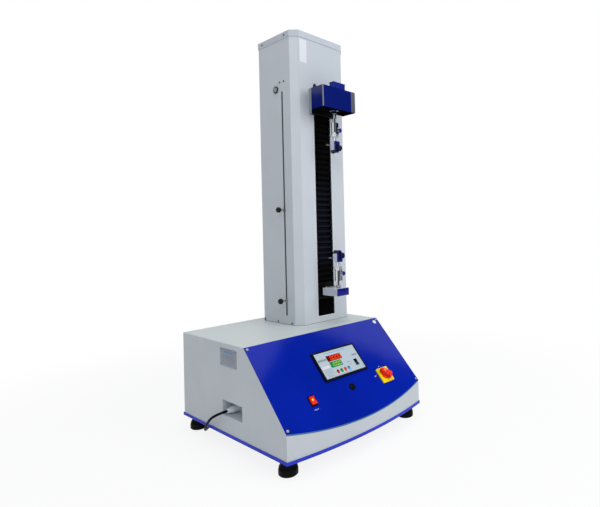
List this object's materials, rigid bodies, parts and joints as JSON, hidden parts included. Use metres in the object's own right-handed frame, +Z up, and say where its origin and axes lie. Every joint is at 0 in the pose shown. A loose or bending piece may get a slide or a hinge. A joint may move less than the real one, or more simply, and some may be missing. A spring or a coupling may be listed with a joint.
{
  "type": "tensile and peel tester",
  "caption": "Bench tensile and peel tester: sloped panel cabinet, slotted column with bellows, motor-driven arm, load cell head and screw-clamped grips.",
  "frame": {"origin": "on the floor, under the middle of the cabinet's box", "axes": "+Z up, the control panel faces -Y, +X to the right seen from the front"},
  "size_m": [0.5688, 0.6729, 1.265],
  "materials": {
    "cabinet_paint": "semi-gloss powder coat, very light bluish grey",
    "panel_blue": "deep royal blue gloss paint",
    "edge_blue": "bright blue paint",
    "head_blue": "dark royal blue gloss paint",
    "mount_grey": "light grey paint",
    "steel": "turned and ground steel",
    "chrome": "plated steel",
    "aluminium": "machined aluminium",
    "motor_black": "black paint",
    "grip_blue": "blue anodised plate",
    "bellows_black": "pleated black coated cloth",
    "black_plastic": "moulded black plastic",
    "gloss_black": "glossy black plastic",
    "display_plastic": "pale grey-blue face in a black bezel",
    "white_plastic": "white nylon",
    "yellow_plastic": "yellow switch plate",
    "red_plastic": "red plastic",
    "red_lit": "translucent red rocker",
    "green_plastic": "green key",
    "orange_plastic": "orange key",
    "blue_plastic": "blue key",
    "rubber_black": "black rubber belt",
    "cord_black": "black flexible sheath",
    "screw_steel": "plated screws"
  },
  "bodies": {
    "machine": {"base_plate": "edge_blue", "cabinet_shell": "cabinet_paint", "control_panel": "panel_blue", "rear_cover": "cabinet_paint", "column_cover": "cabinet_paint", "column_rear_cover": "cabinet_paint", "column_cap": "cabinet_paint", "column_frame": "mount_grey", "drive_frame": "mount_grey", "guide_rods": "steel", "bearing_blocks": "aluminium", "motor": "motor_black", "timing_belt": "rubber_black", "power_supply": "aluminium", "head_mount": "mount_grey", "load_cell_housing": "head_blue", "load_cell": "aluminium", "junction_box": "head_blue", "limit_rod": "steel", "display_module": "display_plastic", "switch_plate": "yellow_plastic", "switch_bodies": "gloss_black", "cover_screws": "screw_steel", "feet": "black_plastic", "bellows_upper": "bellows_black", "bellows_lower": "bellows_black", "cord_gland": "white_plastic", "power_cord": "cord_black", "cord_coil": "cord_black", "mains_plug": "cord_black", "upper_coupling": "chrome", "upper_coupling_plates": "grip_blue"},
    "carriage": {"carriage_block": "aluminium", "carriage_bearings": "steel", "arm_block": "mount_grey", "lower_coupling": "chrome", "lower_coupling_plates": "grip_blue"},
    "screw": {"ball_screw": "steel"},
    "motor_shaft": {"motor_pulley": "aluminium"},
    "upper_stop": {"upper_limit_stop": "black_plastic"},
    "lower_stop": {"lower_limit_stop": "black_plastic"},
    "lock": {"cam_lock": "chrome"},
    "red_button": {"red_key": "red_plastic"},
    "green_button": {"green_key": "green_plastic"},
    "orange_button": {"orange_key": "orange_plastic"},
    "blue_button": {"blue_key": "blue_plastic"},
    "start_push": {"start_button": "gloss_black"},
    "power_switch": {"power_rocker": "red_lit"},
    "display_switch": {"display_rocker": "gloss_black"},
    "main_switch": {"main_switch_knob": "red_plastic"},
    "upper_pin": {"upper_plunger": "grip_blue"},
    "upper_grip": {"upper_grip_body": "chrome", "upper_face_plates": "grip_blue"},
    "upper_jaw": {"upper_moving_jaw": "chrome"},
    "upper_clamp": {"upper_clamp_screw": "black_plastic"},
    "lower_pin": {"lower_plunger": "grip_blue"},
    "lower_grip": {"lower_grip_body": "chrome", "lower_face_plates": "grip_blue"},
    "lower_jaw": {"lower_moving_jaw": "chrome"},
    "lower_clamp": {"lower_clamp_screw": "black_plastic"}
  },
  "joints": [
    {"name": "screw_turn", "type": "hinge", "parent": "machine", "child": "screw", "pos_m": [0.125, 0.13, 0.25], "axis": [0, 0, -1], "range_deg": [-1445, 10810]},
    {"name": "carriage_travel", "type": "slide", "parent": "machine", "child": "carriage", "axis": [0, 0, 1], "range_m": [-0.04, 0.3], "deforming": ["bellows_upper", "bellows_lower"]},
    {"name": "motor_turn", "type": "hinge", "parent": "machine", "child": "motor_shaft", "pos_m": [0.125, -0.015, 0.25], "axis": [0, 0, -1], "range_deg": [-2170, 16210]},
    {"name": "upper_stop_slide", "type": "slide", "parent": "machine", "child": "upper_stop", "axis": [0, 0, 1], "range_m": [-0.12, 0.38]},
    {"name": "lower_stop_slide", "type": "slide", "parent": "machine", "child": "lower_stop", "axis": [0, 0, 1], "range_m": [-0.04, 0.12]},
    {"name": "lock_turn", "type": "hinge", "parent": "machine", "child": "lock", "pos_m": [0.005, 0.1265, 1.082], "axis": [-1, 0, 0], "range_deg": [0, 90]},
    {"name": "red_key_press", "type": "slide", "parent": "machine", "child": "red_button", "axis": [0, 0.7189, -0.6952], "range_m": [0, 0.0012], "stiffness_N_per_m": 200},
    {"name": "green_key_press", "type": "slide", "parent": "machine", "child": "green_button", "axis": [0, 0.7189, -0.6952], "range_m": [0, 0.0012], "stiffness_N_per_m": 200},
    {"name": "orange_key_press", "type": "slide", "parent": "machine", "child": "orange_button", "axis": [0, 0.7189, -0.6952], "range_m": [0, 0.0012], "stiffness_N_per_m": 200},
    {"name": "blue_key_press", "type": "slide", "parent": "machine", "child": "blue_button", "axis": [0, 0.7189, -0.6952], "range_m": [0, 0.0012], "stiffness_N_per_m": 200},
    {"name": "start_press", "type": "slide", "parent": "machine", "child": "start_push", "axis": [0, 0.7189, -0.6952], "range_m": [0, 0.003], "stiffness_N_per_m": 300},
    {"name": "power_rock", "type": "hinge", "parent": "machine", "child": "power_switch", "pos_m": [-0.1485, -0.20736, 0.15529], "axis": [1, 0, 0], "range_deg": [0, 8]},
    {"name": "display_rock", "type": "hinge", "parent": "machine", "child": "display_switch", "pos_m": [0.0615, -0.16503, 0.20409], "axis": [1, 0, 0], "range_deg": [0, 8]},
    {"name": "main_turn", "type": "hinge", "parent": "machine", "child": "main_switch", "pos_m": [0.1425, -0.21018, 0.15524], "axis": [0, 0.7189, -0.6952], "range_deg": [0, 90]},
    {"name": "upper_pin_pull", "type": "slide", "parent": "machine", "child": "upper_pin", "axis": [1, 0, 0], "range_m": [0, 0.003], "stiffness_N_per_m": 400},
    {"name": "upper_grip_swivel", "type": "hinge", "parent": "machine", "child": "upper_grip", "pos_m": [0.125, -0.0295, 0.913], "axis": [0, 0, 1], "continuous": true},
    {"name": "upper_clamp_turn", "type": "hinge", "parent": "upper_jaw", "child": "upper_clamp", "pos_m": [0.145, -0.0295, 0.8795], "axis": [-1, 0, 0], "range_deg": [0, 1625]},
    {"name": "upper_jaw_slide", "type": "slide", "parent": "upper_grip", "child": "upper_jaw", "axis": [-1, 0, 0], "range_m": [0, 0.0045]},
    {"name": "lower_pin_pull", "type": "slide", "parent": "carriage", "child": "lower_pin", "axis": [1, 0, 0], "range_m": [0, 0.003], "stiffness_N_per_m": 400},
    {"name": "lower_grip_swivel", "type": "hinge", "parent": "carriage", "child": "lower_grip", "pos_m": [0.125, -0.0295, 0.4845], "axis": [0, 0, 1], "continuous": true},
    {"name": "lower_clamp_turn", "type": "hinge", "parent": "lower_jaw", "child": "lower_clamp", "pos_m": [0.145, -0.0295, 0.518], "axis": [-1, 0, 0], "range_deg": [0, 1625]},
    {"name": "lower_jaw_slide", "type": "slide", "parent": "lower_grip", "child": "lower_jaw", "axis": [-1, 0, 0], "range_m": [0, 0.0045]}
  ],
  "couplings": [
    {"joint": "screw_turn", "follows": "carriage_travel", "rad_per_m": 628.32},
    {"joint": "motor_turn", "follows": "carriage_travel", "rad_per_m": 942.48},
    {"joint": "upper_clamp_turn", "follows": "upper_jaw_slide", "rad_per_m": 6283.2},
    {"joint": "lower_clamp_turn", "follows": "lower_jaw_slide", "rad_per_m": 6283.2}
  ]
}
